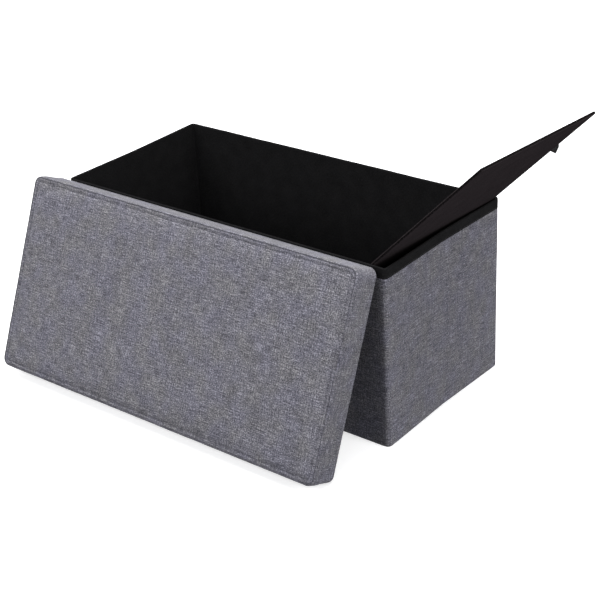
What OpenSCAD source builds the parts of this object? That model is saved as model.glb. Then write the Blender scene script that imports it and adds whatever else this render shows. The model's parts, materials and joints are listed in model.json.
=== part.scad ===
// Folding storage bench: a cloth-covered box with hinged end panels, a padded box lid
// that leans on the front, and a stiff base board drawn half out over the right-hand end.
// +X runs along the bench to the right, +Y to the back, +Z up. The origin is on the floor
// under the middle of the box.

/* [Box] */
// Outer length of the box
box_l = 747; // [600:1:1000]
// Outer width of the box
box_w = 358; // [320:2:420]
// Height of the box from the floor to the rim
box_h = 348; // [300:2:380]
// Radius of the upright corners
corner_r = 8; // [8:1:14]
// How far the folding ends are pushed in at their middle crease
crease_in = 4.5; // [0:0.5:6]
// How far the lining turns down over the outside of the rim
rim_drop = 20; // [8:1:30]

/* [Wall layers] */
// Thickness of the grey outer cloth
cover_t = 1; // [0.6:0.2:1.6]
// Thickness of the stiff boards in the walls
wall_t = 3; // [3:0.5:6]
// Thickness of the black lining cloth
lining_t = 1; // [0.6:0.2:1.6]
// Thickness of the cloth bottom
bottom_t = 2; // [1:0.5:3]
// Gap between two boards where the cloth between them is the hinge
fold_gap = 6; // [4:1:10]

/* [Lid] */
// Length of the lid
lid_l = 764; // [600:1:1020]
// Width of the lid
lid_w = 375; // [330:1:440]
// Depth of the lid from the skirt's lower edge to the padded face
lid_d = 60; // [50:1:90]
// Radius of the lid's corners
lid_corner_r = 16; // [10:1:24]
// Thickness of the foam pad
foam_t = 24; // [15:1:35]
// Thickness of the lid's main board
lid_board_t = 5; // [3:1:9]
// Thickness of the stiff strips in the skirt
skirt_t = 3; // [2:0.5:4]
// Depth of the hem that turns up inside the skirt
hem_l = 12; // [6:1:20]

/* [Lid leaning on the front] */
// How far the lid leans from upright, in degrees
lid_lean = 23.1; // [15:0.1:30]
// Where the middle of the lid stands along the bench
lid_x = -22.5; // [-60:0.5:60]
// Gap kept between the lid's upper edge and the front of the box
lid_gap = 0.4; // [0.3:0.1:2]

/* [Base board] */
// Length of the base board
base_l = 733; // [580:1:740]
// Width of the base board
base_w = 341; // [300:1:343]
// Thickness of the stiff core of the base board
base_core_t = 3; // [2:0.5:5]
// Thickness of the black cloth wrapped round the core
wrap_t = 1; // [0.5:0.1:1.5]
// Height of the base board's foot above the floor, at its middle
base_foot_z = 28.5; // [14:0.5:40]
// Slope of the base board above level, in degrees
base_tilt = 45.5; // [45:0.1:50]
// Roll of the base board about its own length, in degrees
base_cant = -2.6; // [-4:0.1:0]
// How far the base board sits towards the back wall
base_shift = 1.7; // [0:0.1:2]
// Gap kept between the base board and the rim that it leans over
base_gap = 0.5; // [0.3:0.1:2]

/* [Pull tab] */
// Width of the ribbon along the edge of the board
tab_w = 24; // [15:1:30]
// Length of ribbon that hangs from the edge
tab_l = 9; // [8:1:25]
// Distance of the ribbon from the board's upper end
tab_from_end = 98; // [60:1:300]

/* [Staples] */
// Width of a staple's crown
staple_w = 10; // [8:1:14]
// Thickness of the staple wire
staple_wire = 0.8; // [0.6:0.1:1.2]
// Length of a staple's legs
staple_leg = 5; // [4:0.5:5.5]
// Staples along each long edge of the lid
staples_long = 8; // [4:1:12]
// Staples along each short edge of the lid
staples_short = 4; // [2:1:6]

/* [Hidden] */
$fn = 64;
eps = 0.01;
shell_t = cover_t + wall_t + lining_t;
half_l = box_l / 2;
half_w = box_w / 2;
corner_flat = 1;
cover_top = box_h - rim_drop;
board_top = box_h - lining_t;

lid_face = lid_d - cover_t;
foam_bottom = lid_face - foam_t;
lid_board_bottom = foam_bottom - lid_board_t;
lid_lining_bottom = lid_board_bottom - lining_t;
skirt_inner = cover_t + skirt_t;
lid_foot_y = -(half_w + lid_gap + lid_w * sin(lid_lean));

base_t = base_core_t + 2 * wrap_t;
// The board's back edge, seen from the middle of its foot
back_edge_x = -sin(base_tilt) * sin(base_cant) * base_w / 2;
back_edge_z = cos(base_tilt) * sin(base_cant) * base_w / 2;
// Length of the back edge from the foot up to the height of the rim
foot_to_rim = (box_h - base_foot_z - back_edge_z) / sin(base_tilt);
base_foot_x = half_l - shell_t - base_gap - back_edge_x - foot_to_rim * cos(base_tilt);
tab_t = 1.2;
tab_x = base_l - tab_from_end - tab_w;
tab_rake = 7;
staple_inset = 22;

cloth_grey = [0.45, 0.45, 0.49];
cloth_black = [0.08, 0.08, 0.09];
board_brown = [0.62, 0.50, 0.36];
foam_cream = [0.93, 0.91, 0.82];
steel = [0.72, 0.73, 0.75];

// ---- Shared outlines ----

// Plan of the box, moved in from the outside by inset: rounded corners, creased ends
module box_outline(inset) {
    a = half_l - inset;
    b = half_w - inset;
    r = max(corner_r - inset, 1);
    f = b - r - corner_flat;
    polygon([[-a + r, -b], [a - r, -b], [a, -b + r], [a, -f], [a - crease_in, 0],
             [a, f], [a, b - r], [a - r, b], [-a + r, b], [-a, b - r], [-a, f],
             [-a + crease_in, 0], [-a, -f], [-a, -b + r]]);
    for (sx = [-1, 1], sy = [-1, 1])
        translate([sx * (a - r), sy * (b - r)]) circle(r);
}

// Plan of the lid, moved in from the outside by inset
module lid_outline(inset) {
    a = lid_l / 2 - inset;
    b = lid_w / 2 - inset;
    r = max(lid_corner_r - inset, 1);
    square([2 * (a - r), 2 * b], center = true);
    square([2 * a, 2 * (b - r)], center = true);
    for (sx = [-1, 1], sy = [-1, 1])
        translate([sx * (a - r), sy * (b - r)]) circle(r);
}

// One side of a rectangle 2a by 2b, cut from its neighbours by 45-degree mitres
// side: 0 front, 1 right, 2 back, 3 left
module mitred_side(side, a, b) {
    if (side == 0) polygon([[-a, -b], [a, -b], [a - b, 0], [b - a, 0]]);
    if (side == 1) polygon([[a, -b], [a, b], [a - b, 0]]);
    if (side == 2) polygon([[a, b], [-a, b], [b - a, 0], [a - b, 0]]);
    if (side == 3) polygon([[-a, b], [-a, -b], [b - a, 0]]);
}

// A layer of the box wall between two insets, from one height to another
module box_layer(outer, inner, z0, z1) {
    translate([0, 0, z0]) linear_extrude(z1 - z0) intersection() {
        difference() {
            box_outline(outer);
            box_outline(inner);
        }
        children();
    }
}

// A layer of the lid's side between two insets, from one height to another
module lid_layer(outer, inner, z0, z1) {
    translate([0, 0, z0]) linear_extrude(z1 - z0) intersection() {
        difference() {
            lid_outline(outer);
            lid_outline(inner);
        }
        children();
    }
}

// ---- Box ----

module bottom_cloth() {
    color(cloth_black) linear_extrude(bottom_t) box_outline(cover_t);
}

// Stiff board of a long wall: y_side is -1 for the front and 1 for the back
module long_wall_board(y_side) {
    run = 2 * (half_l - corner_r);
    color(board_brown) box_layer(cover_t, cover_t + wall_t, bottom_t, board_top)
        translate([0, y_side * half_w]) square([run, half_w], center = true);
}

// Half of an end wall: x_side and y_side are -1 or 1
module end_half_board(x_side, y_side) {
    y0 = fold_gap / 2;
    y1 = half_w - corner_r;
    color(board_brown) box_layer(cover_t, cover_t + wall_t, bottom_t, board_top)
        translate([x_side * half_l, y_side * (y0 + y1) / 2])
            square([half_l, y1 - y0], center = true);
}

// Grey outer cloth of one side, up to the black rim
module cover_side(side) {
    color(cloth_grey) box_layer(0, cover_t, 0, cover_top)
        mitred_side(side, half_l, half_w);
}

// Black lining of one side: up the inside, over the top of the wall and down the outside
module lining_side(side) {
    color(cloth_black) union() {
        box_layer(cover_t + wall_t, shell_t, bottom_t, box_h)
            mitred_side(side, half_l, half_w);
        box_layer(0, shell_t, board_top, box_h)
            mitred_side(side, half_l, half_w);
        box_layer(0, cover_t, cover_top, box_h)
            mitred_side(side, half_l, half_w);
    }
}

module front_board() { long_wall_board(-1); }
module back_board() { long_wall_board(1); }
module left_end_front_board() { end_half_board(-1, -1); }
module left_end_rear_board() { end_half_board(-1, 1); }
module right_end_front_board() { end_half_board(1, -1); }
module right_end_rear_board() { end_half_board(1, 1); }
module cover_front() { cover_side(0); }
module cover_right() { cover_side(1); }
module cover_back() { cover_side(2); }
module cover_left() { cover_side(3); }
module lining_front() { lining_side(0); }
module lining_right() { lining_side(1); }
module lining_back() { lining_side(2); }
module lining_left() { lining_side(3); }

// ---- Lid, drawn closed (skirt down) and then stood against the front ----

module lean_lid() {
    translate([lid_x, lid_foot_y, 0]) rotate([90 - lid_lean, 0, 0])
        translate([0, lid_w / 2, 0]) children();
}

module lid_top_cover() {
    color(cloth_grey) lean_lid() translate([0, 0, lid_face])
        linear_extrude(cover_t) lid_outline(0);
}

module lid_foam() {
    color(foam_cream) lean_lid() translate([0, 0, foam_bottom])
        linear_extrude(foam_t) lid_outline(cover_t);
}

module lid_board() {
    color(board_brown) lean_lid() translate([0, 0, lid_board_bottom])
        linear_extrude(lid_board_t) lid_outline(cover_t);
}

// Black lining under the board and down the inside of the skirt
module lid_lining() {
    color(cloth_black) lean_lid() union() {
        translate([0, 0, lid_lining_bottom]) linear_extrude(lining_t)
            lid_outline(skirt_inner);
        lid_layer(skirt_inner, skirt_inner + lining_t, hem_l, lid_board_bottom)
            square([lid_l, lid_w], center = true);
    }
}

// Stiff strip in a long side of the skirt
module long_skirt_strip(y_side) {
    color(board_brown) lean_lid()
        lid_layer(cover_t, skirt_inner, cover_t, lid_board_bottom)
            translate([0, y_side * lid_w / 2])
                square([lid_l - 2 * lid_corner_r, lid_corner_r], center = true);
}

// Stiff strip in a short side of the skirt
module short_skirt_strip(x_side) {
    color(board_brown) lean_lid()
        lid_layer(cover_t, skirt_inner, cover_t, lid_board_bottom)
            translate([x_side * lid_l / 2, 0])
                square([lid_corner_r, lid_w - 2 * lid_corner_r], center = true);
}

// Grey boxing cloth round one side of the lid, turned under the skirt and up inside as a hem
module boxing_side(side) {
    color(cloth_grey) lean_lid() union() {
        lid_layer(0, cover_t, 0, lid_face)
            mitred_side(side, lid_l / 2, lid_w / 2);
        lid_layer(0, skirt_inner + lining_t, 0, cover_t)
            mitred_side(side, lid_l / 2, lid_w / 2);
        lid_layer(skirt_inner, skirt_inner + lining_t, 0, hem_l)
            mitred_side(side, lid_l / 2, lid_w / 2);
    }
}

// A wire staple with its crown along X, its legs going up into the board
module staple() {
    crown_z = lid_lining_bottom - staple_wire;
    translate([-staple_w / 2, -staple_wire / 2, crown_z])
        cube([staple_w, staple_wire, staple_wire]);
    for (sx = [-1, 1])
        translate([sx * (staple_w - staple_wire) / 2 - staple_wire / 2,
                   -staple_wire / 2, crown_z + staple_wire - eps])
            cube([staple_wire, staple_wire, staple_leg]);
}

module lid_staples() {
    row_l = lid_l - 4 * staple_inset;
    row_w = lid_w - 4 * staple_inset;
    color(steel) lean_lid() union() {
        for (sy = [-1, 1], i = [0 : staples_long - 1])
            translate([-row_l / 2 + i * row_l / (staples_long - 1),
                       sy * (lid_w / 2 - staple_inset), 0]) staple();
        for (sx = [-1, 1], i = [0 : staples_short - 1])
            translate([sx * (lid_l / 2 - staple_inset),
                       -row_w / 2 + i * row_w / (staples_short - 1), 0])
                rotate([0, 0, 90]) staple();
    }
}

module lid_skirt_front() { long_skirt_strip(-1); }
module lid_skirt_back() { long_skirt_strip(1); }
module lid_skirt_left() { short_skirt_strip(-1); }
module lid_skirt_right() { short_skirt_strip(1); }
module lid_boxing_front() { boxing_side(0); }
module lid_boxing_right() { boxing_side(1); }
module lid_boxing_back() { boxing_side(2); }
module lid_boxing_left() { boxing_side(3); }

// ---- Base board, drawn flat from its foot along X, then leant out over the right end ----

module lean_base() {
    translate([base_foot_x, base_shift, base_foot_z])
        rotate([base_cant, -base_tilt, 0]) children();
}

module base_plate(inset, z0, z1) {
    translate([inset, -base_w / 2 + inset, z0])
        cube([base_l - 2 * inset, base_w - 2 * inset, z1 - z0]);
}

module base_board() {
    color(board_brown) lean_base() base_plate(wrap_t, wrap_t, wrap_t + base_core_t);
}

// Black cloth under the core and up its edges
module base_wrap_lower() {
    color(cloth_black) lean_base() difference() {
        base_plate(0, 0, base_t - wrap_t);
        base_plate(wrap_t, wrap_t, base_t);
    }
}

module base_wrap_upper() {
    color(cloth_black) lean_base() base_plate(0, base_t - wrap_t, base_t);
}

// Ribbon sewn to the back edge of the board, hanging below it
module pull_tab() {
    color(cloth_black) lean_base()
        translate([tab_x, base_w / 2, 0]) rotate([90, 0, 0]) linear_extrude(tab_t)
            polygon([[0, 0], [tab_w, 0], [tab_w - tab_rake, -tab_l / 2], [tab_rake, -tab_l]]);
}

bottom_cloth();
front_board();
back_board();
left_end_front_board();
left_end_rear_board();
right_end_front_board();
right_end_rear_board();
cover_front();
cover_back();
cover_left();
cover_right();
lining_front();
lining_back();
lining_left();
lining_right();
lid_top_cover();
lid_foam();
lid_board();
lid_lining();
lid_skirt_front();
lid_skirt_back();
lid_skirt_left();
lid_skirt_right();
lid_boxing_front();
lid_boxing_back();
lid_boxing_left();
lid_boxing_right();
lid_staples();
base_board();
base_wrap_lower();
base_wrap_upper();
pull_tab();
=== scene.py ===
"""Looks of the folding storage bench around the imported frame: cloth, lining, padding, stitching and light."""

import json
import math

import bpy
import numpy as np
from mathutils import Matrix, Vector

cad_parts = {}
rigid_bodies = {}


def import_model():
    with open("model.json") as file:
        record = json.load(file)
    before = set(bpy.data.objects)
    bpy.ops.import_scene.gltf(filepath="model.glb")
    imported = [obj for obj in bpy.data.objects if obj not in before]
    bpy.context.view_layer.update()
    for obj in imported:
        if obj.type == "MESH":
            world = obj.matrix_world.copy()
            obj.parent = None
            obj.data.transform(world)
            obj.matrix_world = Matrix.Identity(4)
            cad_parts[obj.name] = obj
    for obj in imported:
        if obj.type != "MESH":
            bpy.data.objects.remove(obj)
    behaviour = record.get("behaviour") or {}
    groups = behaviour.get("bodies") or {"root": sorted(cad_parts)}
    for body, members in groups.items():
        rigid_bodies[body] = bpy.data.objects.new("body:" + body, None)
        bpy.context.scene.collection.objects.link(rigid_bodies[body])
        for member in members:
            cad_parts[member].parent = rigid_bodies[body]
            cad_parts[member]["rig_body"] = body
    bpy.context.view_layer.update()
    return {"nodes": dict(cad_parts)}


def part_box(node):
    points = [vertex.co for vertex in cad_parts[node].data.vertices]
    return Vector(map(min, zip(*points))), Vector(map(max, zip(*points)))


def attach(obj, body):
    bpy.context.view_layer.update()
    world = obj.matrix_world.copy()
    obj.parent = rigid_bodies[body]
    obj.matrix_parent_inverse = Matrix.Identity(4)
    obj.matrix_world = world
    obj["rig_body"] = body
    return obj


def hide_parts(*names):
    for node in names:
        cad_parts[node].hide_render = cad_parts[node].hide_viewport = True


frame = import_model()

MM = 0.001

# ---- Places read from the frame ----


def node_points(name):
    mesh = frame["nodes"][name].data
    co = np.empty(len(mesh.vertices) * 3)
    mesh.vertices.foreach_get("co", co)
    return co.reshape(-1, 3)


def cuboid_axes(name):
    """Unit edge directions of a cuboid CAD node, shortest edge first."""
    co = np.unique(node_points(name).round(6), axis=0)
    edges = co[1:] - co[0]
    edges = edges[np.argsort(np.linalg.norm(edges, axis=1))]
    axes = []
    for e in edges:
        e = e / np.linalg.norm(e)
        if len(axes) < 3 and all(abs(e @ a) < 1e-3 for a in axes):
            axes.append(e)
    return axes


class Place:
    """A local frame: where its axes lie in the row frame, and the extents of some CAD nodes in it."""

    def __init__(self, x, y, z, nodes):
        self.axes = np.array([x, y, z])
        co = np.concatenate([node_points(n) for n in nodes]) @ self.axes.T
        low, high = co.min(0), co.max(0)
        self.size = high - low
        self.origin = np.array([(low[0] + high[0]) / 2, (low[1] + high[1]) / 2, low[2]])

    def row(self, p):
        return (np.asarray(p) + self.origin) @ self.axes


def faced(v, towards):
    return v if np.dot(v, towards) > 0 else -v


LID_NODES = [n for n, o in frame["nodes"].items() if o["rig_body"] == "lid"]
_, deep, long_ = cuboid_axes("lid_skirt_front")
lid_x, lid_z = faced(long_, (1, 0, 0)), faced(deep, (0, -1, 0))
lid = Place(lid_x, np.cross(lid_z, lid_x), lid_z, LID_NODES)

_, wide, long_ = cuboid_axes("base_board")
base_x, base_y = faced(long_, (0, 0, 1)), faced(wide, (0, 1, 0))
base = Place(base_x, base_y, np.cross(base_x, base_y), ["base_wrap_lower", "base_wrap_upper"])

HALF_L, HALF_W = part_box("cover_right")[1].x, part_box("cover_back")[1].y
BOX_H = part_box("lining_back")[1].z
COVER_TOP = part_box("cover_front")[1].z
RIM = BOX_H - COVER_TOP
LINING_T = 1 * MM
WALL = HALF_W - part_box("back_board")[0].y + LINING_T
BOTTOM_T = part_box("bottom_cloth")[1].z
CORNER_R = HALF_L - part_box("back_board")[1].x
CREASE = 4.3 * MM  # the cloth bridges the fold of the boards a little
LID_R = lid.size[0] / 2 - (node_points("lid_skirt_front") @ lid.axes[0] - lid.origin[0]).max()

# ---- Smooth noise, seeded ----


def wander(u, v, seed, scale, octaves=2):
    """Smooth noise of about -1 to 1 over two arrays, with features of the given size in metres."""
    rng = np.random.default_rng(seed)
    total, weight = np.zeros(np.broadcast(u, v).shape), 0.0
    for k in range(octaves):
        step = scale / 2**k
        for _ in range(5):
            a, phase = rng.uniform(0, 2 * math.pi, 2)
            stretch = rng.uniform(0.6, 1.4)
            along = u * math.cos(a) + v * math.sin(a)
            total += 0.5**k * np.sin(2 * math.pi * stretch * along / step + phase)
        weight += 0.5**k * 2.2
    return total / weight


def ease(x, a, b):
    t = np.clip((x - a) / (b - a), 0, 1)
    return t * t * (3 - 2 * t)


# ---- Meshes ----


def new_object(name, verts, faces, normals=None, weave=None, smooth=True):
    mesh = bpy.data.meshes.new(name)
    mesh.from_pydata([tuple(p) for p in verts], [], faces)
    mesh.update()
    if smooth:
        mesh.polygons.foreach_set("use_smooth", [True] * len(mesh.polygons))
    if weave is not None:
        made = mesh.attributes.new("weave", "FLOAT_VECTOR", "POINT")
        made.data.foreach_set("vector", np.asarray(weave, np.float32).ravel())
    if normals is not None:
        mesh.normals_split_custom_set([tuple(n) for n in normals])
    obj = bpy.data.objects.new(name, mesh)
    bpy.context.scene.collection.objects.link(obj)
    return obj


def grid_normals(p, wrap):
    """Unit normals of a grid of points, from its own differences."""
    if wrap:
        du = np.roll(p, -1, 0) - np.roll(p, 1, 0)
    else:
        du = np.gradient(p, axis=0)
    dv = np.gradient(p, axis=1)
    n = np.cross(du, dv)
    return n / np.maximum(np.linalg.norm(n, axis=2, keepdims=True), 1e-12)


def cloth_from_grid(name, p, weave, thick, normals=None, wrap=False):
    """A closed sheet of real thickness: p is its outer face, and the inner one lies thick behind it."""
    rows, cols = p.shape[:2]
    n = grid_normals(p, wrap) if normals is None else normals
    inner = p - n * thick
    verts = np.concatenate([p.reshape(-1, 3), inner.reshape(-1, 3)])
    w = np.zeros((rows, cols, 3))
    w[..., :weave.shape[2]] = weave
    weaves = np.concatenate([w.reshape(-1, 3)] * 2)
    count, faces, loops = rows * cols, [], []
    flat = n.reshape(-1, 3)
    for i in range(rows if wrap else rows - 1):
        k = (i + 1) % rows
        for j in range(cols - 1):
            q = (i * cols + j, k * cols + j, k * cols + j + 1, i * cols + j + 1)
            faces.append(q)
            loops += [flat[x] for x in q]
            faces.append(tuple(count + x for x in reversed(q)))
            loops += [-flat[x] for x in reversed(q)]
    rim = []
    for i in range(rows if wrap else rows - 1):
        k = (i + 1) % rows
        rim.append((k * cols, i * cols))
        rim.append((i * cols + cols - 1, k * cols + cols - 1))
    if not wrap:
        for j in range(cols - 1):
            rim.append((j, j + 1))
            rim.append(((rows - 1) * cols + j + 1, (rows - 1) * cols + j))
    for a, b in rim:
        q = (a, b, count + b, count + a)
        faces.append(q)
        e, f = verts[b] - verts[a], verts[count + a] - verts[a]
        m = np.cross(e, f)
        m = m / max(np.linalg.norm(m), 1e-12)
        loops += [m] * 4
    return new_object(name, verts, faces, loops, weaves)


def grid_faces(rows, cols):
    faces = []
    for i in range(rows - 1):
        for j in range(cols - 1):
            k = i * cols + j
            faces.append((k, k + cols, k + cols + 1, k + 1))
    return faces


def spaced(a, b, step):
    return np.linspace(a, b, max(2, int(round(abs(b - a) / step)) + 1))


def side_path(half_run, radius, crease=0.0, flat=0.0, step=6 * MM):
    """One side of a rounded outline, from corner middle to corner middle, as (along, outward).
    Outward is 0 at the straight part."""
    turn = np.radians(np.linspace(-45, 0, 9))[:-1]
    arc_along = -half_run + radius + radius * np.sin(turn)
    arc = np.stack([arc_along, radius * np.cos(turn) - radius], 1)
    end = half_run - radius
    if crease:
        near = spaced(2 * MM, 30 * MM, 2 * MM)
        far = spaced(30 * MM, end, step)[1:]
        t = np.concatenate([-far[::-1], -near[::-1], [0], near, far])
        soft = np.sqrt(t**2 + (2.5 * MM) ** 2)
        out = -crease * np.clip(1 - soft / (end - flat), 0, 1)
    else:
        t = spaced(-end, end, step)
        out = np.zeros_like(t)
    straight = np.stack([t, out], 1)
    return np.concatenate([arc, straight, arc[::-1] * [-1, 1]])


def ring(half_l, half_w, radius, crease=0.0, step=6 * MM):
    """A closed outline: points, outward normals, distance along it, and the slices of its four sides.
    Sides run front, right, back, left. The first point of a side is the last of the one before."""
    long_side = side_path(half_l, radius, step=step)
    short_side = side_path(half_w, radius, crease, 1 * MM, step)
    sides = [
        np.stack([long_side[:, 0], -half_w - long_side[:, 1]], 1),
        np.stack([half_l + short_side[:, 1], short_side[:, 0]], 1),
        np.stack([-long_side[:, 0], half_w + long_side[:, 1]], 1),
        np.stack([-half_l - short_side[:, 1], -short_side[:, 0]], 1),
    ]
    points, slices, start = [], [], 0
    for s in sides:
        points.append(s[:-1])
        slices.append((start, start + len(s)))
        start += len(s) - 1
    points = np.concatenate(points)
    ahead = np.roll(points, -1, 0) - points
    tangent = np.roll(points, -1, 0) - np.roll(points, 1, 0)
    tangent /= np.linalg.norm(tangent, axis=1, keepdims=True)
    normal = np.stack([tangent[:, 1], -tangent[:, 0]], 1)
    along = np.concatenate([[0], np.cumsum(np.linalg.norm(ahead, axis=1))])
    return points, normal, along, slices


SIDES = ("front", "right", "back", "left")


def distance_along(points):
    return np.concatenate([[0], np.cumsum(np.linalg.norm(np.diff(points, axis=0), axis=1))])


def swept(profile, around):
    """A profile of (depth, height) repeated round an outline: its length, and the grids of
    distance round, distance along the profile, depth and height."""
    path = distance_along(profile)
    round_grid, path_grid = np.meshgrid(around, path, indexing="ij")
    depth = np.repeat(profile[None, :, 0], len(around), 0)
    height = np.repeat(profile[None, :, 1], len(around), 0)
    return float(path[-1]), round_grid, path_grid, depth, height


def ring_grid(outline, depth, height):
    """Points of a grid round an outline, with depth inwards and height up.
    Both are grids of (points round, points along the profile)."""
    points, normal = outline[0], outline[1]
    xy = points[:, None, :] - normal[:, None, :] * depth[..., None]
    return np.concatenate([xy, height[..., None]], 2)


def closed(a):
    return np.concatenate([a, a[:1]])


def seam_round(outline, depth, height):
    """A closed line round an outline at one depth and height, and its outward directions."""
    shape = (len(outline[0]), 1)
    line = ring_grid(outline, np.full(shape, depth), np.full(shape, height))[:, 0]
    return closed(line), closed(np.concatenate([outline[1], np.zeros(shape)], 1))


def split_sides(name, outline, grid, weave, thick, place=None):
    """One closed sheet for each side of a ring grid.
    The normals are those of the whole ring, so that the sides meet smoothly."""
    n = grid_normals(grid, True)
    n, grid, weave = closed(n), closed(grid), np.concatenate([weave, weave[:1]])
    weave[-1, :, 0] = outline[2][-1]
    made = []
    for k, side in enumerate(SIDES):
        a, b = outline[3][k]
        p = place.row(grid[a:b]) if place else grid[a:b]
        m = n[a:b] @ place.axes if place else n[a:b]
        made.append(cloth_from_grid(name.format(side), p, weave[a:b], thick, m))
    return made


def rounded_plan(half_l, half_w, radius, fine=2 * MM, coarse=9 * MM, margin=24 * MM):
    """A grid of points filling a rounded rectangle, closer together near its edges."""

    def line(half):
        m = max(margin, radius)
        inner = spaced(-(half - m), half - m, coarse)
        edge = spaced(half - m, half, fine)[1:]
        return np.concatenate([-edge[::-1], inner, edge])

    x, y = np.meshgrid(line(half_l), line(half_w), indexing="ij")
    px = np.clip((abs(x) - (half_l - radius)) / radius, 0, 1)
    py = np.clip((abs(y) - (half_w - radius)) / radius, 0, 1)
    corner = (px > 0) & (py > 0)
    cx = half_l - radius + radius * px * np.sqrt(1 - py**2 / 2)
    cy = half_w - radius + radius * py * np.sqrt(1 - px**2 / 2)
    return np.where(corner, np.sign(x) * cx, x), np.where(corner, np.sign(y) * cy, y)


def edge_distance(x, y, half_l, half_w, radius):
    """How far inside a rounded rectangle each point is."""
    qx, qy = abs(x) - (half_l - radius), abs(y) - (half_w - radius)
    outside = np.hypot(np.maximum(qx, 0), np.maximum(qy, 0)) - radius
    inside = np.minimum(np.maximum(qx, qy), 0)
    return -(outside + inside)


def stitches(name, points, normals, length=2.8 * MM, pitch=4.2 * MM, radius=0.32 * MM):
    """Separate stitches along a line of points, each a short thread that dives in at both ends."""
    along = distance_along(points)

    def at(s, values):
        return np.array([np.interp(s, along, values[:, k]) for k in range(3)]).T

    verts, faces, weave = [], [], []
    sections, sides = 5, 6
    for s0 in np.arange(pitch / 2, along[-1] - length, pitch):
        t = np.linspace(0, 1, sections)
        c = at(s0 + t * length, points)
        up = at(s0 + t * length, normals)
        up /= np.linalg.norm(up, axis=1, keepdims=True)
        tangent = np.gradient(c, axis=0)
        tangent /= np.linalg.norm(tangent, axis=1, keepdims=True)
        across = np.cross(tangent, up)
        lift = np.sin(t * math.pi) * radius * 1.5 - radius * 0.9
        fat = radius * (0.55 + 0.45 * np.sin(t * math.pi))
        c = c + up * lift[:, None]
        first = len(verts)
        for k in range(sections):
            for q in range(sides):
                a = 2 * math.pi * q / sides
                spoke = math.cos(a) * across[k] * 1.15 + math.sin(a) * up[k]
                verts.append(c[k] + fat[k] * spoke)
                weave.append((s0 + t[k] * length, q * radius, 0))
        for k in range(sections - 1):
            for q in range(sides):
                a, b = first + k * sides + q, first + k * sides + (q + 1) % sides
                faces.append((a, b, b + sides, a + sides))
        faces.append(tuple(first + q for q in reversed(range(sides))))
        faces.append(tuple(first + (sections - 1) * sides + q for q in range(sides)))
    return new_object(name, verts, faces, None, weave)


# ---- Materials ----


def add(tree, kind, sockets=None, **props):
    n = tree.nodes.new("ShaderNode" + kind)
    for k, v in props.items():
        setattr(n, k, v)
    for k, v in (sockets or {}).items():
        if isinstance(v, bpy.types.NodeSocket):
            tree.links.new(v, n.inputs[k])
        else:
            n.inputs[k].default_value = v
    return n


def maths(tree, operation, a, b=0.0):
    return add(tree, "Math", {0: a, 1: b}, operation=operation).outputs[0]


def start_material(name):
    mat = bpy.data.materials.new(name)
    mat.use_nodes = True
    tree = mat.node_tree
    tree.nodes.clear()
    shader = add(tree, "BsdfPrincipled")
    out = add(tree, "OutputMaterial")
    tree.links.new(shader.outputs[0], out.inputs["Surface"])
    return mat, tree, shader


def streaks(tree, where, across, along, detail=1.0, shift=0.0):
    """Noise stretched along threads: how often it changes per metre on each of the two weave axes."""
    scaled = add(tree, "VectorMath", {0: where, 1: (across, along, 1)}, operation="MULTIPLY").outputs[0]
    moved = add(tree, "VectorMath", {0: scaled, 1: (shift, shift * 0.7, 0)}, operation="ADD").outputs[0]
    sockets = {"Vector": moved, "Scale": 1.0, "Detail": detail, "Roughness": 0.5}
    return add(tree, "TexNoise", sockets, noise_dimensions="2D").outputs["Fac"]


def thread_place(tree):
    """Place on the cloth: x and y run along its threads, z is how much painted shade it gets by a seam."""
    return add(tree, "Attribute", attribute_name="weave").outputs["Vector"]


def solid_place(tree):
    return add(tree, "TexCoord").outputs["Object"]


def solid_noise(tree, where, scale, detail, roughness=0.5):
    sockets = {"Vector": where, "Scale": scale, "Detail": detail, "Roughness": roughness}
    return add(tree, "TexNoise", sockets).outputs["Fac"]


def scaled_sum(tree, value, weight, more):
    return add(tree, "Math", {0: value, 1: weight, 2: more}, operation="MULTIPLY_ADD").outputs[0]


def colours(tree, value, *stops):
    """The colour for a value, between stops of (position, colour)."""
    ramp = add(tree, "ValToRGB", {"Fac": value})
    elements = ramp.color_ramp.elements
    for k, (at, colour) in enumerate(stops):
        stop = elements[k] if k < 2 else elements.new(at)
        stop.position = at
        stop.color = (*colour, 1)
    return ramp.outputs["Color"]


def mixed(tree, a, b, factor, blend="MIX"):
    sockets = {"Factor": factor, "A": a, "B": b}
    return add(tree, "Mix", sockets, data_type="RGBA", blend_type=blend).outputs["Result"]


def raise_surface(tree, shader, height, strength, distance, invert=False):
    bump = add(tree, "Bump", {"Strength": strength, "Distance": distance, "Height": height}, invert=invert)
    tree.links.new(bump.outputs["Normal"], shader.inputs["Normal"])


def vary_roughness(tree, shader, value, at_low, at_high):
    rough = add(tree, "MapRange", {"Value": value, "To Min": at_low, "To Max": at_high})
    tree.links.new(rough.outputs["Result"], shader.inputs["Roughness"])


def weighted(tree, terms, middle=0.5):
    """middle plus each (value - 0.5) times its weight."""
    total = middle
    for value, weight in terms:
        centred = maths(tree, "SUBTRACT", value, 0.5)
        total = scaled_sum(tree, centred, weight, total)
    return total


def plain_weave(tree, where, pitch):
    """Height of a plain weave, from -1 to 1: each thread goes over one and under the next."""
    axes = add(tree, "SeparateXYZ", {0: where})
    waves = [maths(tree, "SINE", maths(tree, "MULTIPLY", axes.outputs[k], math.pi / pitch)) for k in (0, 1)]
    return maths(tree, "MULTIPLY", *waves)


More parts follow.
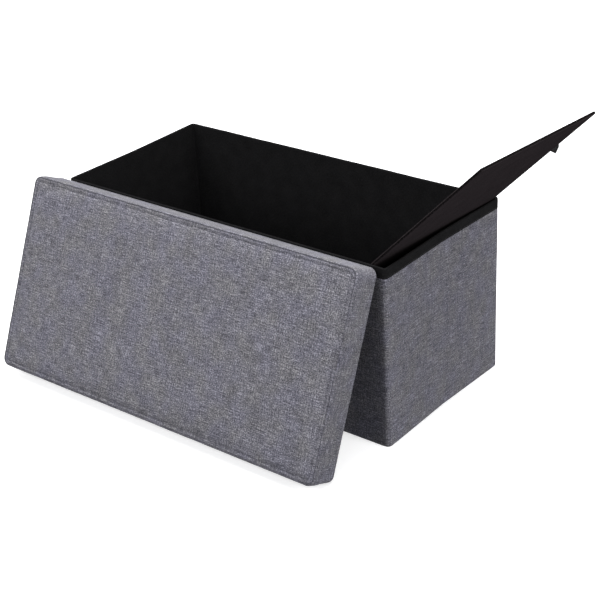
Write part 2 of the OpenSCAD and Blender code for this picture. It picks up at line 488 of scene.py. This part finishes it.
def heather_cloth():
    """Grey mottled cloth: light and dark threads in a plain weave, with painted shade along its seams."""
    mat, tree, shader = start_material("heather_cloth")
    where = thread_place(tree)
    warp = streaks(tree, where, 620, 60)
    warp_slub = streaks(tree, where, 250, 13, shift=31)
    weft = streaks(tree, where, 52, 620, shift=57)
    weft_slub = streaks(tree, where, 11, 270, shift=83)
    grain = streaks(tree, where, 420, 420, 2.0, shift=11)
    blotch = streaks(tree, where, 26, 26, 2.0, shift=5)
    weave = plain_weave(tree, where, 1.05 * MM)
    shades = [(warp, 0.6), (warp_slub, 0.2), (weft, 0.85), (weft_slub, 0.25), (grain, 1.6), (blotch, 0.18)]
    level = scaled_sum(tree, weave, 0.05, weighted(tree, shades))
    yarn = colours(
        tree,
        level,
        (0.0, (0.038, 0.037, 0.047)),
        (0.42, (0.115, 0.113, 0.130)),
        (0.62, (0.160, 0.157, 0.179)),
        (1.0, (0.345, 0.338, 0.37)),
    )
    tint = streaks(tree, where, 24, 20, shift=71)
    hue = colours(tree, tint, (0.3, (0.96, 0.96, 1.1)), (0.7, (1.03, 1.02, 0.93)))
    # Painted shade: the cloth colour is darkened where the weave's z marks a seam, standing in for the shadow
    # in the seam's groove
    seam = add(tree, "SeparateXYZ", {0: where}).outputs[2]
    cloth = mixed(tree, yarn, hue, 0.5, "MULTIPLY")
    tree.links.new(mixed(tree, cloth, (0.42, 0.42, 0.46, 1), seam, "MULTIPLY"), shader.inputs["Base Color"])
    threads = [(warp, 0.9), (weft, 0.9), (weft_slub, 0.4), (warp_slub, 0.3), (grain, 1.2)]
    raise_surface(tree, shader, scaled_sum(tree, weave, 0.35, weighted(tree, threads)), 0.65, 0.4 * MM)
    vary_roughness(tree, shader, level, 0.98, 0.8)
    shader.inputs["Specular IOR Level"].default_value = 0.18
    shader.inputs["Sheen Weight"].default_value = 0.12
    shader.inputs["Sheen Roughness"].default_value = 0.6
    return mat


def felted_cloth(name, dark, light, gloss):
    """Pressed non-woven cloth: short fibres, and the small dimples of the roller that bonds them."""
    mat, tree, shader = start_material(name)
    where = thread_place(tree)
    fibres = streaks(tree, where, 900, 260, 3.0)
    cross = streaks(tree, where, 240, 840, 3.0, shift=19)
    cloudy = streaks(tree, where, 35, 35, 2.0, shift=43)
    dimples = plain_weave(tree, where, 1.7 * MM)
    level = weighted(tree, [(fibres, 0.9), (cross, 0.9), (cloudy, 0.35)])
    tree.links.new(colours(tree, level, (0.15, dark), (0.9, light)), shader.inputs["Base Color"])
    height = scaled_sum(tree, dimples, 0.25, weighted(tree, [(fibres, 1.0), (cross, 1.0)]))
    raise_surface(tree, shader, height, 0.4, 0.25 * MM)
    vary_roughness(tree, shader, level, 0.95, 0.82)
    shader.inputs["Specular IOR Level"].default_value = gloss
    return mat


def ribbed_ribbon():
    mat, tree, shader = start_material("ribbon_black")
    where = thread_place(tree)
    axes = add(tree, "SeparateXYZ", {0: where})
    rib = maths(tree, "SINE", maths(tree, "MULTIPLY", axes.outputs[0], 2 * math.pi / (1.1 * MM)))
    fuzz = streaks(tree, where, 1500, 700, 2.0)
    level = scaled_sum(tree, rib, 0.18, fuzz)
    colour = colours(tree, level, (0.2, (0.006, 0.006, 0.007)), (0.85, (0.03, 0.028, 0.03)))
    tree.links.new(colour, shader.inputs["Base Color"])
    raise_surface(tree, shader, level, 0.5, 0.3 * MM)
    vary_roughness(tree, shader, level, 0.75, 0.55)
    shader.inputs["Sheen Weight"].default_value = 0.2
    return mat


def twisted_thread(name, dark, light):
    mat, tree, shader = start_material(name)
    axes = add(tree, "SeparateXYZ", {0: thread_place(tree)})
    slant = maths(tree, "ADD", axes.outputs[0], maths(tree, "MULTIPLY", axes.outputs[1], 0.8))
    ply = maths(tree, "SINE", maths(tree, "MULTIPLY", slant, 2 * math.pi / (0.55 * MM)))
    lit = add(tree, "MapRange", {"Value": ply, "From Min": -1.0}).outputs["Result"]
    tree.links.new(mixed(tree, (*dark, 1), (*light, 1), lit), shader.inputs["Base Color"])
    raise_surface(tree, shader, ply, 0.5, 0.1 * MM)
    shader.inputs["Roughness"].default_value = 0.7
    shader.inputs["Sheen Weight"].default_value = 0.15
    return mat


def fibreboard():
    mat, tree, shader = start_material("fibreboard")
    where = solid_place(tree)
    chips = solid_noise(tree, where, 420.0, 5.0, 0.65)
    cloud = solid_noise(tree, where, 26.0, 3.0)
    level = weighted(tree, [(chips, 1.3), (cloud, 0.6)])
    colour = colours(tree, level, (0.2, (0.22, 0.14, 0.08)), (0.8, (0.5, 0.37, 0.23)))
    tree.links.new(colour, shader.inputs["Base Color"])
    raise_surface(tree, shader, chips, 0.4, 0.3 * MM)
    vary_roughness(tree, shader, level, 0.92, 0.75)
    return mat


def open_foam():
    mat, tree, shader = start_material("open_foam")
    where = solid_place(tree)
    cells = add(tree, "TexVoronoi", {"Vector": where, "Scale": 650.0}, feature="F1")
    cloud = solid_noise(tree, where, 18.0, 3.0)
    depth = maths(tree, "MULTIPLY", cells.outputs["Distance"], 1.4)
    level = weighted(tree, [(depth, -0.5), (cloud, 0.6)])
    colour = colours(tree, level, (0.1, (0.62, 0.56, 0.4)), (0.9, (0.88, 0.85, 0.74)))
    tree.links.new(colour, shader.inputs["Base Color"])
    raise_surface(tree, shader, depth, 0.6, 0.5 * MM, invert=True)
    shader.inputs["Roughness"].default_value = 0.95
    return mat


def galvanised_wire():
    mat, tree, shader = start_material("galvanised_wire")
    scuff = solid_noise(tree, solid_place(tree), 900.0, 4.0)
    colour = colours(tree, scuff, (0.3, (0.42, 0.43, 0.45)), (0.7, (0.66, 0.67, 0.69)))
    tree.links.new(colour, shader.inputs["Base Color"])
    vary_roughness(tree, shader, scuff, 0.28, 0.5)
    shader.inputs["Metallic"].default_value = 1.0
    return mat


GREY = heather_cloth()
LINING = felted_cloth("lining_black", (0.0045, 0.0045, 0.0047), (0.0165, 0.0161, 0.0168), 0.03)
WRAP = felted_cloth("wrap_black", (0.026, 0.0212, 0.0228), (0.058, 0.0485, 0.051), 0.0)
WRAP_EDGE = felted_cloth("wrap_edge_black", (0.003, 0.0027, 0.0028), (0.009, 0.0078, 0.0081), 0.0)
RIBBON = ribbed_ribbon()
THREAD_GREY = twisted_thread("thread_grey", (0.035, 0.035, 0.042), (0.11, 0.11, 0.125))
THREAD_BLACK = twisted_thread("thread_black", (0.008, 0.008, 0.009), (0.03, 0.03, 0.032))
BOARD = fibreboard()
FOAM = open_foam()
WIRE = galvanised_wire()


def dress(obj, material, body, slot, *nodes):
    obj.data.materials.append(material)
    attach(obj, body)
    if nodes:
        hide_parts(*nodes)
    return obj


# ---- Box: outer cover ----

SHEET_T = 0.6 * MM
outline = ring(HALF_L, HALF_W, CORNER_R, CREASE)
round_s = outline[2][:-1]
count = len(round_s)

in_corner = np.zeros(count)
for first, end in outline[3]:
    for k in (first, end - 1):
        away = outline[2][:count] - outline[2][k % count]
        in_corner += np.exp(-((away / (9 * MM)) ** 2))
in_corner = np.clip(in_corner, 0, 1)[:, None]

z = np.concatenate([
    np.array([0.05, 0.3, 0.8, 1.5, 2.4, 3.5, 5, 7]) * MM,
    spaced(10 * MM, COVER_TOP - 24 * MM, 8 * MM),
    spaced(COVER_TOP - 20 * MM, COVER_TOP - 4 * MM, 4 * MM),
    COVER_TOP - np.array([2.5, 1.6, 0.8, 0.1]) * MM,
])
S, Z = np.meshgrid(round_s, z, indexing="ij")
turn = 1.6 * MM + 1.2 * MM * in_corner
depth = np.where(Z < turn, turn - np.sqrt(np.maximum(turn**2 - (turn - Z) ** 2, 0)), 0)
depth = depth + (0.16 + 0.16 * wander(S, Z, 3, 160 * MM)) * MM * ease(Z, 4 * MM, 30 * MM)
pucker = wander(S, Z * 0.15, 5, 17 * MM) * np.exp(-(COVER_TOP - Z) / (16 * MM))
depth = depth + (0.1 + 0.1 * pucker) * MM
depth = depth + 0.36 * MM * ease(Z, COVER_TOP - 3 * MM, COVER_TOP)
depth = depth + in_corner * (0.05 + 0.05 * wander(S * 0.2, Z, 9, 120 * MM)) * MM
grid = ring_grid(outline, depth, Z)
panels = split_sides("outer_cover_{}", outline, grid, np.stack([S, Z], 2), SHEET_T)
for obj, side in zip(panels, SIDES):
    dress(obj, GREY, "box", "grey_cloth", f"cover_{side}")

# ---- Box: lining over the rim ----

roll = 1.9 * MM  # radius of the lining over the wall's top edge
quarter = np.radians(np.linspace(0, 90, 6))
inner_z = np.concatenate([
    BOTTOM_T + np.array([0.4, 3, 8]) * MM,
    spaced(20 * MM, BOX_H - 30 * MM, 11 * MM),
    BOX_H - np.array([22, 14, 8, 5, 3]) * MM,
])
profile = [(WALL, v) for v in inner_z]
profile += [(WALL - roll + roll * math.cos(a), BOX_H - roll + roll * math.sin(a)) for a in quarter]
profile += [(roll - roll * math.sin(a), BOX_H - roll + roll * math.cos(a)) for a in quarter]
profile += [(0.0, BOX_H - v) for v in spaced(4 * MM, RIM - 1 * MM, 2.5 * MM)]
profile += [(0.15 * MM, BOX_H - RIM + 0.3 * MM), (0.45 * MM, BOX_H - RIM + 0.05 * MM)]
length, S, V, depth, height = swept(np.array(profile), round_s)
hang = ease(height, 6 * MM, 70 * MM) * (1 - ease(height, BOX_H - 45 * MM, BOX_H - 12 * MM))
inside = depth > WALL - 1e-6
depth = depth + inside * hang * (0.45 + 0.45 * wander(S, height * 0.6, 21, 190 * MM)) * MM
by_rim = ease(height, BOX_H - 40 * MM, BOX_H - 14 * MM)
depth = depth + inside * by_rim * (0.12 + 0.12 * wander(S, height, 23, 26 * MM)) * MM
top = ease(height, BOX_H - 3 * MM, BOX_H)
height = height + top * (0.2 * wander(S, S * 0, 25, 90 * MM) - 0.2) * MM
outer_band = depth < 0.5 * MM
depth = depth + outer_band * (0.1 + 0.1 * wander(S, height * 2, 27, 22 * MM)) * MM
grid = ring_grid(outline, depth, height)[:, ::-1]
weave = np.stack([S, V], 2)[:, ::-1]
for obj, side in zip(split_sides("rim_lining_{}", outline, grid, weave, SHEET_T), SIDES):
    dress(obj, LINING, "box", "black_lining", f"lining_{side}")

line, outward = seam_round(outline, 0.05 * MM, COVER_TOP + 2.8 * MM)
rim_stitches = stitches("rim_stitching", line, outward, radius=0.24 * MM)
dress(rim_stitches, THREAD_BLACK, "box", "black_lining")

# ---- Box: bottom ----

BOTTOM_IN = 3.4 * MM
half_l, half_w = HALF_L - BOTTOM_IN, HALF_W - BOTTOM_IN
x, y = rounded_plan(half_l, half_w, CORNER_R - 2 * MM)
rim = edge_distance(x, y, half_l, half_w, CORNER_R - 2 * MM)
folded = np.clip(1 - abs(y) / (HALF_W - CORNER_R), 0, 1) * ease(abs(x), HALF_L - 60 * MM, HALF_L - 4 * MM)
x = x - np.sign(x) * CREASE * folded
level = BOTTOM_T - 0.35 * MM - (0.25 + 0.25 * wander(x, y, 31, 150 * MM)) * MM * ease(rim, 0, 20 * MM)
sheet = np.stack([x, y, level], 2)
floor_cloth = cloth_from_grid("bottom_cloth_sheet", sheet, np.stack([x, y], 2), 1.0 * MM)
dress(floor_cloth, LINING, "box", "black_lining", "bottom_cloth")

# ---- Lid: padded face ----

LID_L, LID_W, LID_D = lid.size[0] / 2, lid.size[1] / 2, float(lid.size[2])
SEAM_IN, STITCH_IN = 2.6 * MM, 10.5 * MM
PAD_FRAMES = 22  # by then the cloth has come to rest
PAD_REACH = 4 * MM  # the most that the simulated cloth may move


def face_height(x, y):
    """Height of the padded face: a narrow welt at its seam, the topstitch line and then the pad."""
    d = edge_distance(x, y, LID_L, LID_W, LID_R)
    welt = 1.5 * np.sin(np.clip((d - SEAM_IN) / (STITCH_IN - SEAM_IN), 0, 1) * math.pi) ** 0.7 - 0.5
    pad = -0.5 + 2.5 * (1 - np.exp(-np.maximum(d - STITCH_IN, 0) / (3.2 * MM)))
    return LID_D + (np.where(d < STITCH_IN, welt, pad) - 2.4) * MM


x, y = rounded_plan(LID_L - SEAM_IN, LID_W - SEAM_IN, LID_R - SEAM_IN, 1.7 * MM, 7 * MM, 30 * MM)
d = edge_distance(x, y, LID_L, LID_W, LID_R)


def simulate_pad(x, y, d):
    """How far each point of the face cloth moves, held along its topstitch and pushed out by the foam."""
    start = np.stack([x, y, np.zeros_like(x)], 2).reshape(-1, 3)
    obj = new_object("pad_simulation", start, grid_faces(*x.shape))
    group = obj.vertex_groups.new(name="held")
    group.add([int(k) for k in np.flatnonzero(d.ravel() < STITCH_IN + 0.5 * MM)], 1.0, "REPLACE")
    mod = obj.modifiers.new("cloth", "CLOTH")
    s = mod.settings
    s.quality, s.mass, s.air_damping = 6, 0.3, 6.0
    s.tension_stiffness = s.compression_stiffness = 22
    s.shear_stiffness, s.bending_stiffness = 8, 1.2
    s.vertex_group_mass = "held"
    s.use_pressure, s.uniform_pressure_force = True, 2.2
    s.shrink_min = s.shrink_max = -0.004
    s.effector_weights.gravity = 0.0
    scene = bpy.context.scene
    scene.frame_start, scene.frame_end = 1, 25
    for frame_number in range(1, PAD_FRAMES + 1):
        scene.frame_set(frame_number)
    now = obj.evaluated_get(bpy.context.evaluated_depsgraph_get())
    co = np.array([v.co for v in now.data.vertices]).reshape(x.shape + (3,))
    bpy.data.objects.remove(obj)
    scene.frame_set(1)
    move = co - start.reshape(x.shape + (3,))
    return PAD_REACH * np.tanh(move / PAD_REACH)


move = simulate_pad(x, y, d)
rise = move[..., 2]
fx, fy = x + move[..., 0] * 0.5, y + move[..., 1] * 0.5
soft = 0.25 * wander(x, y, 41, 110 * MM) + 0.12 * wander(x, y, 43, 36 * MM)
soft = soft * MM * ease(d, STITCH_IN, 40 * MM)
by_stitch = np.exp(-abs(d - STITCH_IN) / (9 * MM)) * ease(d, SEAM_IN, SEAM_IN + 2 * MM)
pull = 0.16 * wander(x, y, 45, 12 * MM) * MM * by_stitch
fz = face_height(x, y) + rise + soft + pull
face = np.stack([fx, fy, fz], 2)
normals = grid_normals(face, False)
row_face, row_normals = lid.row(face), normals @ lid.axes
SEAM_SHADE_WIDE = 1.3 * MM
# Painted shade along the face seam and, half as strong, along the topstitch line: the cloth colour is darkened
# there
seam_shade_mask = np.exp(-(((d - SEAM_IN) / SEAM_SHADE_WIDE) ** 2)) + 0.5 * np.exp(-(((d - STITCH_IN) / SEAM_SHADE_WIDE) ** 2))
weave = np.stack([x, y, np.clip(seam_shade_mask, 0, 1)], 2)
top = cloth_from_grid("lid_face_cover", row_face, weave, SHEET_T, row_normals)
dress(top, GREY, "lid", "grey_cloth", "lid_top_cover")

# ---- Lid: boxing round the sides ----

lid_outline = ring(LID_L, LID_W, LID_R)
lid_round = lid_outline[2][:-1]
bend = np.radians(np.linspace(0, 90, 9))
edge_r, hem_r = 3.2 * MM, 1.2 * MM
SKIRT_IN = 4.9 * MM
hem_mid = hem_r + 0.05 * MM
edge_mid = LID_D - 1.2 * MM - edge_r
profile = [(SKIRT_IN, v * MM) for v in (12, 8, 4)]
profile += [(SKIRT_IN - hem_r + hem_r * math.cos(a), hem_mid - hem_r * math.sin(a)) for a in bend[::2]]
profile += [(hem_r - hem_r * math.sin(a), hem_mid - hem_r * math.cos(a)) for a in bend[::2]]
profile += [(0.0, v) for v in spaced(5 * MM, LID_D - edge_r - 3 * MM, 5 * MM)]
profile += [(edge_r - edge_r * math.cos(a), edge_mid + edge_r * math.sin(a)) for a in bend[:7]]
profile += [(SEAM_IN + out * MM, LID_D - down * MM) for out, down in ((-0.5, 1.9), (0, 2.6), (0.3, 3.4))]
length, S, V, depth, height = swept(np.array(profile), lid_round)
outer = depth < 4 * MM
belly = np.clip((height - 26 * MM) / (LID_D - 30 * MM), 0, 1)
depth = depth - outer * 0.9 * MM * np.sin(belly * math.pi)
depth = depth + outer * (0.15 + 0.15 * wander(S, V, 51, 70 * MM)) * MM * ease(height, 3 * MM, 14 * MM)
tuck = np.exp(-np.maximum(LID_D - height, 0) / (7 * MM)) * outer
depth = depth + tuck * (0.12 + 0.16 * wander(S, V * 0.2, 53, 14 * MM)) * MM
grid = ring_grid(lid_outline, depth, height)
# Painted shade on the boxing where it meets the face seam, carried in the weave's z
seam_shade_mask = np.exp(-(((length - V) / (2.2 * MM)) ** 2))
OTHER_CLOTH = 0.4  # metres along the roll from where the face was cut
weave = np.stack([S, V + OTHER_CLOTH, seam_shade_mask], 2)
boxing = split_sides("lid_boxing_cloth_{}", lid_outline, grid, weave, SHEET_T, lid)
for obj, side in zip(boxing, SIDES):
    dress(obj, GREY, "lid", "grey_cloth", f"lid_boxing_{side}")


def stitch_lid(name, line, outward, radius):
    made = stitches(name, lid.row(line), outward @ lid.axes, 3.0 * MM, 4.4 * MM, radius)
    dress(made, THREAD_GREY, "lid", "grey_cloth")


seam_ring = ring(LID_L - STITCH_IN, LID_W - STITCH_IN, LID_R - STITCH_IN + 2 * MM, step=3 * MM)
sx, sy = seam_ring[0][:, 0], seam_ring[0][:, 1]
line = closed(np.stack([sx, sy, face_height(sx, sy) + 0.05 * MM], 1))
stitch_lid("lid_topstitching", line, np.tile([0.0, 0.0, 1.0], (len(line), 1)), 0.3 * MM)
hem_line, outward = seam_round(ring(LID_L, LID_W, LID_R, step=3 * MM), 0.16 * MM, 9 * MM)
stitch_lid("lid_hem_stitching", hem_line, outward, 0.26 * MM)

# ---- Lid: foam pad inside ----

foam_co = node_points("lid_foam") @ lid.axes.T - lid.origin
foam_low = foam_co[:, 2].min()
inset = 1.6 * MM
px, py = rounded_plan(LID_L - inset, LID_W - inset, LID_R - inset, 2.5 * MM, 12 * MM, 26 * MM)
pd = edge_distance(px, py, LID_L - inset, LID_W - inset, LID_R - inset)
round_off = np.clip(1 - pd / (8 * MM), 0, 1)
upper = LID_D - 4.2 * MM + 2.2 * MM * ease(pd, 8 * MM, 90 * MM) - 5 * MM * (1 - np.sqrt(1 - round_off**2))
upper = np.minimum(upper, LID_D - 3.6 * MM + 1.2 * MM * ease(pd, 10 * MM, 60 * MM))
lower = np.full_like(upper, foam_low + 0.1 * MM)
rows, cols = px.shape
both = np.concatenate([np.stack([px, py, h], 2).reshape(-1, 3) for h in (upper, lower)])
faces = []
for q in grid_faces(rows, cols):
    faces += [q, tuple(rows * cols + k for k in reversed(q))]
edge = [(i, 0) for i in range(rows)] + [(rows - 1, j) for j in range(1, cols)]
edge += [(i, cols - 1) for i in range(rows - 2, -1, -1)] + [(0, j) for j in range(cols - 2, 0, -1)]
loop = [i * cols + j for i, j in edge]
for a, b in zip(loop, loop[1:] + loop[:1]):
    faces.append((b, a, a + rows * cols, b + rows * cols))
pad = new_object("lid_foam_pad", lid.row(both), faces)
dress(pad, FOAM, "lid", "foam", "lid_foam")

# ---- Lid: black lining underneath ----

lining_co = node_points("lid_lining") @ lid.axes.T - lid.origin
lining_low = float(np.sort(np.unique(lining_co[:, 2].round(4)))[-2])
inset = 5.1 * MM
ux, uy = rounded_plan(LID_L - inset, LID_W - inset, LID_R - inset, 3 * MM, 12 * MM, 24 * MM)
ud = edge_distance(ux, uy, LID_L - inset, LID_W - inset, LID_R - inset)
sag = ease(ud, 22 * MM, 90 * MM) * (0.9 + 0.5 * wander(ux, uy, 61, 150 * MM)) * MM
uz = lining_low - sag + 0.1 * MM
under = np.stack([ux, uy, uz], 2)[::-1]
flat = cloth_from_grid("lid_underside_lining", lid.row(under), np.stack([ux, uy], 2)[::-1], SHEET_T)
dress(flat, LINING, "lid", "black_lining", "lid_lining")

inner_z = np.array([11.2, 12.5, 15, 19, 23, 26, 28, 28.8]) * MM
S, Zi = np.meshgrid(lid_round, inner_z, indexing="ij")
depth = np.full_like(S, 5.0 * MM) + (0.15 + 0.15 * wander(S, Zi, 63, 60 * MM)) * MM
depth = depth + 0.35 * MM * (1 - ease(Zi, 11 * MM, 14 * MM))
grid = ring_grid(lid_outline, depth, Zi)[:, ::-1]
weave = np.stack([S, Zi], 2)[:, ::-1]
normals = grid_normals(grid, True) @ lid.axes
skirt = cloth_from_grid("lid_skirt_lining", lid.row(grid), weave, SHEET_T, normals, wrap=True)
dress(skirt, LINING, "lid", "black_lining", "lid_lining")

# ---- Base board: black wrap ----

BL, BW, BT = base.size[0] / 2, base.size[1] / 2, float(base.size[2])
corner = 2.2 * MM
EDGE_ROUND = 1.3 * MM


def wrap_face(name, node, sign, hem, seed):
    """One wrapped face of the base board, rolled over its edges: sign -1 is the underside, 1 the top.
    hem is how far in the edge of the cloth turned over from the other face shows, if it does."""
    x, y = rounded_plan(BL, BW, corner, 1.2 * MM, 9 * MM, 8 * MM)
    d = edge_distance(x, y, BL, BW, corner)
    t = np.clip(1 - d / EDGE_ROUND, 0, 1)
    away = BT / 2 - EDGE_ROUND * (1 - np.sqrt(1 - t**2))
    away = away + (0.1 * wander(x, y, seed, 120 * MM) - 0.1) * MM * ease(d, 3 * MM, 20 * MM)
    if hem:
        step = ease(hem - d, -1.2 * MM, 0.4 * MM)
        away = away + (0.45 * step - 0.45) * MM * ease(d, 0, 4 * MM)
        away = away + 0.12 * wander(x, y, seed + 1, 24 * MM) * MM * np.exp(-abs(d - hem) / (10 * MM))
    p = np.stack([x, y, BT / 2 + sign * away], 2)
    w = np.stack([x, y], 2)
    if sign < 0:
        p, w = p[::-1], w[::-1]
    n = grid_normals(p, False) @ base.axes
    obj = cloth_from_grid(name, base.row(p), w, SHEET_T * 0.9, n)
    dress(obj, WRAP, "base", "black_wrap", node)
    return obj


wrap_face("base_wrap_underside", "base_wrap_lower", -1, 62 * MM, 71)
wrap_face("base_wrap_topside", "base_wrap_upper", 1, 0, 73)

edge_outline = ring(BL, BW, corner)
plan = edge_outline[0]
# From under the lower face, round the edge of the core, to under the upper face
profile = [(3.6, 0.58), (2.4, 0.58), (1.2, 0.58), (0.6, 0.62), (0.25, 0.85), (0.1, 1.3), (0.05, 2.0)]
profile = np.array(profile + [(d, 5.0 - h) for d, h in profile[::-1]]) * MM
length, S, V, depth, height = swept(profile, edge_outline[2][:-1])
at_corner = (abs(plan[:, 0]) > BL - corner - 1e-6) & (abs(plan[:, 1]) > BW - corner - 1e-6)
depth = np.minimum(depth, np.where(at_corner, 1.9 * MM, 1.0)[:, None])
grid = ring_grid(edge_outline, depth, height)
weave = np.stack([S, V], 2)
normals = grid_normals(grid, True) @ base.axes
binding = cloth_from_grid("base_wrap_edge", base.row(grid), weave, 0.38 * MM, normals, wrap=True)
dress(binding, WRAP_EDGE, "base", "black_wrap", "base_wrap_lower")

# ---- Base board: pull tab ----

tab_co = node_points("pull_tab") @ base.axes.T - base.origin
(tx0, ty0, tz0), (tx1, ty1, tz1) = tab_co.min(0), tab_co.max(0)
taper = 7 * MM
root = 2.4 * MM  # sewn to the outside of the wrapped edge
across_t, down_t = np.meshgrid(np.linspace(0, 1, 15), np.linspace(0, 1, 11), indexing="ij")
drop = tz1 - tz0
left = tx0 + taper * down_t
right = tx1 - taper * down_t**1.5
tx = left + (right - left) * across_t
tz = tz1 + root * (1 - down_t) - drop * down_t * (1 - 0.45 * across_t * down_t)
bow = 0.9 * MM * np.sin(down_t * math.pi) * (0.6 + 0.4 * np.sin(across_t * math.pi))
ribbon = np.stack([tx, ty1 + 0.78 * MM + 0.5 * bow, tz], 2)
n = grid_normals(ribbon, False)
if n[7, 5] @ np.array([0, 1, 0]) < 0:
    ribbon, n = ribbon[::-1], -n[::-1]
weave = np.stack([across_t * (tx1 - tx0), down_t * drop], 2)
tab = cloth_from_grid("pull_tab_ribbon", base.row(ribbon), weave, 0.8 * MM, n @ base.axes)
dress(tab, RIBBON, "base", "black_ribbon", "pull_tab")
steps = np.linalg.norm(np.diff(ribbon[..., 1:], axis=1), axis=2)
# The cut is tapered: the length of each step down it, averaged across its width, from the y and z of its points
# alone
down = steps.mean(0)

# ---- Boards and staples stay as they are in the frame ----

for name, obj in frame["nodes"].items():
    if obj.hide_render:
        continue
    obj.data.materials.clear()
    obj.data.materials.append(WIRE if name == "lid_staples" else BOARD)

# ---- Floor, light and camera ----

BOWL_R, FLOOR_R = 5, 8  # the floor is flat out to FLOOR_R metres and then rises as a bowl
sweep = np.radians(np.linspace(0, 80, 15))[1:]
profile = [(r, 0.0) for r in (0.01, 2, 4, 6, FLOOR_R)]
profile += [(FLOOR_R + BOWL_R * math.sin(a), BOWL_R - BOWL_R * math.cos(a)) for a in sweep]
spokes, verts, faces = 72, [], []
turns = [2 * math.pi * k / spokes for k in range(spokes)]
for r, h in profile:
    verts += [(r * math.cos(a), r * math.sin(a), h) for a in turns]
for i in range(len(profile) - 1):
    for k in range(spokes):
        m = (k + 1) % spokes
        faces.append((i * spokes + k, (i + 1) * spokes + k, (i + 1) * spokes + m, i * spokes + m))
faces.append(tuple(range(spokes)))
floor = new_object("studio_floor", verts, faces)
mat, tree, shader = start_material("studio_white")
dust = solid_noise(tree, solid_place(tree), 0.6, 2.0)
pale = add(tree, "MapRange", {"Value": dust, "To Min": 0.9, "To Max": 0.92})
tree.links.new(pale.outputs["Result"], shader.inputs["Base Color"])
shader.inputs["Roughness"].default_value = 0.9
shader.inputs["Specular IOR Level"].default_value = 0.1
shader.inputs["Emission Color"].default_value = (1, 1, 1, 1)
shader.inputs["Emission Strength"].default_value = 0.5
floor.data.materials.append(mat)
floor.visible_diffuse = False  # it throws no light back up at the object

world = bpy.data.worlds.new("studio")
bpy.context.scene.world = world
world.use_nodes = True
back = world.node_tree.nodes.get("Background") or world.node_tree.nodes.new("ShaderNodeBackground")
back.inputs["Color"].default_value = (0.94, 0.96, 1.08, 1)
back.inputs["Strength"].default_value = 0.15


def softbox(name, at, towards, size, power):
    data = bpy.data.lights.new(name, "AREA")
    data.shape, data.size, data.size_y, data.energy = "RECTANGLE", size[0], size[1], power
    obj = bpy.data.objects.new(name, data)
    obj.location = at
    obj.rotation_euler = (Vector(towards) - Vector(at)).to_track_quat("-Z", "Y").to_euler()
    bpy.context.scene.collection.objects.link(obj)
    return obj


softbox("softbox_front", (-0.7, -3.2, 2.1), (0, 0, 0.2), (2.4, 1.8), 94)
softbox("softbox_right", (3.3, -0.2, 1.6), (0, 0, 0.2), (1.8, 1.8), 80)
softbox("softbox_back", (-1.2, 3.4, 2.0), (0, 0, 0.2), (2.6, 1.8), 62)
softbox("softbox_left", (-3.4, 0.2, 1.7), (0, 0, 0.2), (1.8, 1.8), 26)
softbox("softbox_top", (0.3, 0.2, 3.4), (0, 0, 0), (3.0, 3.0), 118)

camera_data = bpy.data.cameras.new("camera")
camera_data.lens, camera_data.sensor_width = 89.19, 36.0
camera_data.clip_start, camera_data.clip_end = 0.1, 60
camera = bpy.data.objects.new("camera", camera_data)
right = (0.78504, 0.61772, -0.04618)
down = (0.24800, -0.38174, -0.89037)
ahead = (-0.56763, 0.68753, -0.45288)
axes = Matrix((right, [-c for c in down], [-c for c in ahead])).transposed()
camera.matrix_world = Matrix.Translation((1.66334, -1.96562, 1.41719)) @ axes.to_4x4()
bpy.context.scene.collection.objects.link(camera)
bpy.context.scene.camera = camera
bpy.context.scene.view_settings.view_transform = "Standard"
